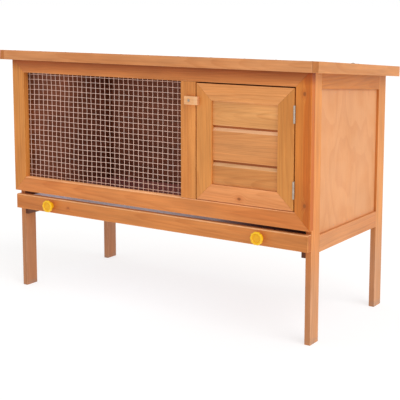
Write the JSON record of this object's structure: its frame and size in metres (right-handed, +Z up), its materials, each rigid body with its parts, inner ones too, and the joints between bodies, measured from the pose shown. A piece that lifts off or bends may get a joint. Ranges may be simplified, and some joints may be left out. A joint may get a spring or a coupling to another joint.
{
  "type": "rabbit hutch",
  "caption": "Raised wooden rabbit hutch with a wire window, a hinged nest door with a turn button, a pull-out tray floor and a sloping roof that lifts.",
  "frame": {"origin": "on the ground below the middle of the roof, at the bottom centre of the bounding box", "axes": "+Z up; -Y is the front with the window, the door and the tray; +X is the right-hand side seen from the front, where the door's hinges are"},
  "size_m": [0.91, 0.4238, 0.62],
  "materials": {
    "stained_fir": "honey-stained fir battens, satin, with grain and small knots",
    "dark_fir": "stained fir in the shade under the tray, dull",
    "plywood": "stained plywood, satin, fine flat grain",
    "bare_wood": "unstained pale wood, matt",
    "galvanised_sheet": "galvanised sheet with a faint spangle",
    "galvanised_wire": "galvanised welded wire",
    "zinc_plated_steel": "zinc-plated hinges and screws",
    "yellow_plastic": "moulded yellow plastic, satin",
    "roofing_felt": "green mineral-faced bitumen felt, rough"
  },
  "bodies": {
    "cabinet": {"front_stile_left": "stained_fir", "front_stile_right": "stained_fir", "front_bottom_rail": "stained_fir", "front_top_rail": "stained_fir", "front_mullion": "stained_fir", "window_mesh": "galvanised_wire", "leg_front_left": "stained_fir", "leg_rear_left": "stained_fir", "leg_front_right": "stained_fir", "leg_rear_right": "stained_fir", "side_bottom_rail_left": "stained_fir", "side_top_rail_left": "stained_fir", "side_panel_left": "plywood", "side_bottom_rail_right": "stained_fir", "side_top_rail_right": "stained_fir", "side_panel_right": "plywood", "back_top_rail": "stained_fir", "back_bottom_rail": "stained_fir", "back_panel": "plywood", "divider": "plywood", "tray_runner_left": "dark_fir", "tray_runner_right": "dark_fir", "door_hinge_upper_frame_leaf": "zinc_plated_steel", "door_hinge_upper_pin": "zinc_plated_steel", "door_hinge_lower_frame_leaf": "zinc_plated_steel", "door_hinge_lower_pin": "zinc_plated_steel", "latch_screw": "zinc_plated_steel", "roof_hinge_left_body_leaf": "zinc_plated_steel", "roof_hinge_left_pin": "zinc_plated_steel", "roof_hinge_right_body_leaf": "zinc_plated_steel", "roof_hinge_right_pin": "zinc_plated_steel"},
    "door": {"door_hinge_upper_door_leaf": "zinc_plated_steel", "door_hinge_lower_door_leaf": "zinc_plated_steel", "door_stile_left": "stained_fir", "door_stile_right": "stained_fir", "door_bottom_rail": "stained_fir", "door_top_rail": "stained_fir", "door_board_bottom": "stained_fir", "door_board_middle": "stained_fir", "door_board_top": "stained_fir"},
    "turn_button": {"latch_button": "bare_wood"},
    "tray": {"tray_front": "stained_fir", "tray_pan": "galvanised_sheet", "knob_left": "yellow_plastic", "knob_screw_left": "zinc_plated_steel", "knob_right": "yellow_plastic", "knob_screw_right": "zinc_plated_steel"},
    "roof": {"roof_hinge_left_roof_leaf": "zinc_plated_steel", "roof_hinge_right_roof_leaf": "zinc_plated_steel", "fascia_left": "stained_fir", "fascia_right": "stained_fir", "fascia_front": "stained_fir", "fascia_rear": "stained_fir", "roof_board": "plywood", "roof_felt": "roofing_felt"}
  },
  "joints": [
    {"name": "door_hinge", "type": "hinge", "parent": "cabinet", "child": "door", "pos_m": [0.3905, -0.19448, 0.42852], "axis": [0, 0, 1], "range_deg": [0, 170]},
    {"name": "latch_turn", "type": "hinge", "parent": "cabinet", "child": "turn_button", "pos_m": [0.1244, -0.19208, 0.52105], "axis": [0, -1, 0], "range_deg": [-90, 90]},
    {"name": "tray_slide", "type": "slide", "parent": "cabinet", "child": "tray", "axis": [0, -1, 0], "range_m": [0, 0.34]},
    {"name": "roof_hinge", "type": "hinge", "parent": "cabinet", "child": "roof", "pos_m": [0, 0.19972, 0.56159], "axis": [-1, 0, 0], "range_deg": [0, 80]}
  ]
}
